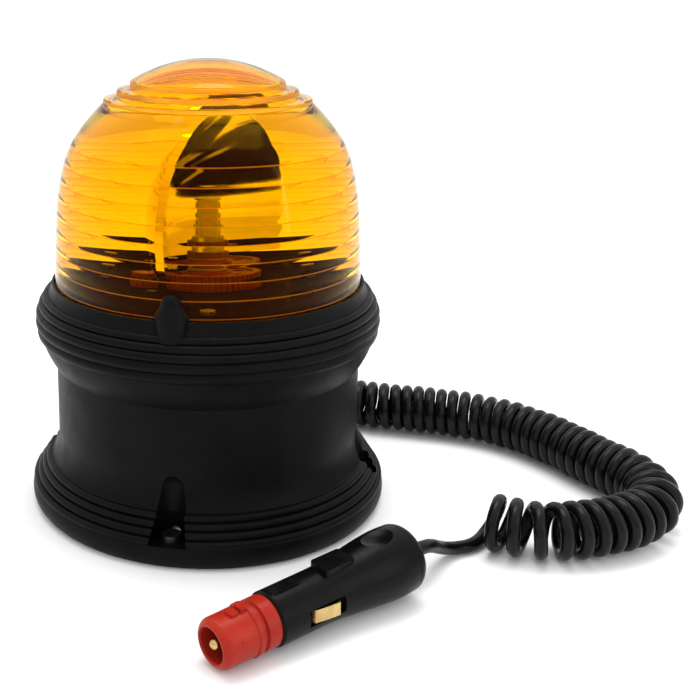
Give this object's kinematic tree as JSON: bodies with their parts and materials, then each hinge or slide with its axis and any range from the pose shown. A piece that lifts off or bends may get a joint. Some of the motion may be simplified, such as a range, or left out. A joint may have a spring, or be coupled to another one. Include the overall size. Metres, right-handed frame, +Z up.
{
  "type": "rotating warning beacon",
  "caption": "Amber rotating warning beacon on a magnetic ribbed rubber foot, with a coiled supply lead and a universal vehicle power plug.",
  "frame": {"origin": "centre of the foot underside, on the surface that the beacon stands on", "axes": "+Z up along the reflector axis and the lens axis; -Y is the front, where the visible lens lug is; the lead leaves low at the rear and lies on the surface towards +X"},
  "size_m": [0.2814, 0.2753, 0.191],
  "materials": {
    "boot_rubber": "moulded matte",
    "pad_rubber": "smooth matte",
    "ferrite": "ground",
    "black_steel": "black oxide",
    "zinc_steel": "zinc plated",
    "tub_plastic": "moulded",
    "deck_plastic": "fine grain",
    "amber_lens": "clear amber acrylic",
    "seal_rubber": "smooth",
    "post_steel": "turned",
    "washer_nylon": "natural nylon",
    "bush_bronze": "sintered bronze",
    "gear_plastic": "red-brown acetal",
    "mirror_chrome": "vacuum metallised",
    "lamp_ceramic": "red-brown moulded",
    "lamp_aluminium": "anodised",
    "emitter_phosphor": "phosphor gel",
    "motor_steel": "drawn can",
    "board_laminate": "phenolic laminate",
    "choke_copper": "enamelled copper winding",
    "capacitor_sleeve": "printed sleeve",
    "terminal_plastic": "moulded",
    "cord_jacket": "polyurethane jacket",
    "wire_insulation": "pvc insulation",
    "plug_black": "moulded satin",
    "plug_red": "moulded satin",
    "contact_brass": "bright",
    "spring_steel": "wire",
    "fuse_glass": "clear"
  },
  "bodies": {
    "base": {"rubber_boot": "boot_rubber", "foot_pad": "pad_rubber", "ring_magnet": "ferrite", "base_screws": "black_steel", "magnet_pan": "zinc_steel", "tub_screws": "zinc_steel", "chassis_screws": "zinc_steel", "clamp_screws": "zinc_steel", "motor_screws": "zinc_steel", "post_clip": "zinc_steel", "plug_screw": "zinc_steel", "base_tub": "tub_plastic", "motor_cap": "tub_plastic", "cable_clamp": "tub_plastic", "chassis_plate": "deck_plastic", "lens_seal": "seal_rubber", "motor_gasket": "seal_rubber", "pivot_post": "post_steel", "thrust_washer": "washer_nylon", "lamp_holder": "lamp_ceramic", "led_lamp_body": "lamp_aluminium", "led_emitters": "emitter_phosphor", "motor_can": "motor_steel", "driver_board": "board_laminate", "filter_choke": "choke_copper", "capacitor": "capacitor_sleeve", "terminal_block": "terminal_plastic", "cord_tail_base": "cord_jacket", "cord_coil": "cord_jacket", "cord_tail_plug": "cord_jacket", "inner_lead": "cord_jacket", "cord_gland": "cord_jacket", "inner_wires": "wire_insulation", "plug_shell_upper": "plug_black", "plug_shell_lower": "plug_black", "plug_barrel": "plug_black", "fuse_caps": "contact_brass", "fuse_plate": "contact_brass", "tip_spring": "spring_steel", "plug_fuse": "fuse_glass"},
    "rotor": {"turntable_gear": "gear_plastic", "hub_bush": "bush_bronze", "reflector": "mirror_chrome", "reflector_cradle": "deck_plastic", "cradle_screws": "zinc_steel"},
    "motor_rotor": {"motor_shaft": "post_steel", "motor_pinion": "gear_plastic"},
    "lens": {"lens_dome": "amber_lens"},
    "tip": {"plug_tip": "contact_brass"},
    "leaf_left": {"contact_left": "contact_brass"},
    "leaf_right": {"contact_right": "contact_brass"},
    "adapter": {"plug_adapter_ring": "plug_red"}
  },
  "joints": [
    {"name": "reflector_spin", "type": "hinge", "parent": "base", "child": "rotor", "pos_m": [0, 0, 0.1], "axis": [0, 0, 1], "continuous": true},
    {"name": "motor_spin", "type": "hinge", "parent": "base", "child": "motor_rotor", "pos_m": [-0.02631, -0.00958, 0.1], "axis": [0, 0, 1], "continuous": true},
    {"name": "lens_lift", "type": "slide", "parent": "base", "child": "lens", "axis": [0, 0, 1], "range_m": [0, 0.1]},
    {"name": "tip_press", "type": "slide", "parent": "base", "child": "tip", "axis": [-0.8061, -0.59, -0.046], "range_m": [-0.0025, 0], "stiffness_N_per_m": 600, "springref_m": 0.002, "deforming": ["tip_spring"]},
    {"name": "leaf_left_press", "type": "slide", "parent": "base", "child": "leaf_left", "axis": [0.5906, -0.807, 0], "range_m": [-0.0015, 0], "stiffness_N_per_m": 500, "springref_m": 0.001},
    {"name": "leaf_right_press", "type": "slide", "parent": "base", "child": "leaf_right", "axis": [-0.5906, 0.807, 0], "range_m": [-0.0015, 0], "stiffness_N_per_m": 500, "springref_m": 0.001},
    {"name": "adapter_pull", "type": "slide", "parent": "base", "child": "adapter", "axis": [-0.8061, -0.59, -0.046], "range_m": [0, 0.026]}
  ],
  "couplings": [
    {"joint": "motor_spin", "follows": "reflector_spin", "ratio": -4}
  ]
}
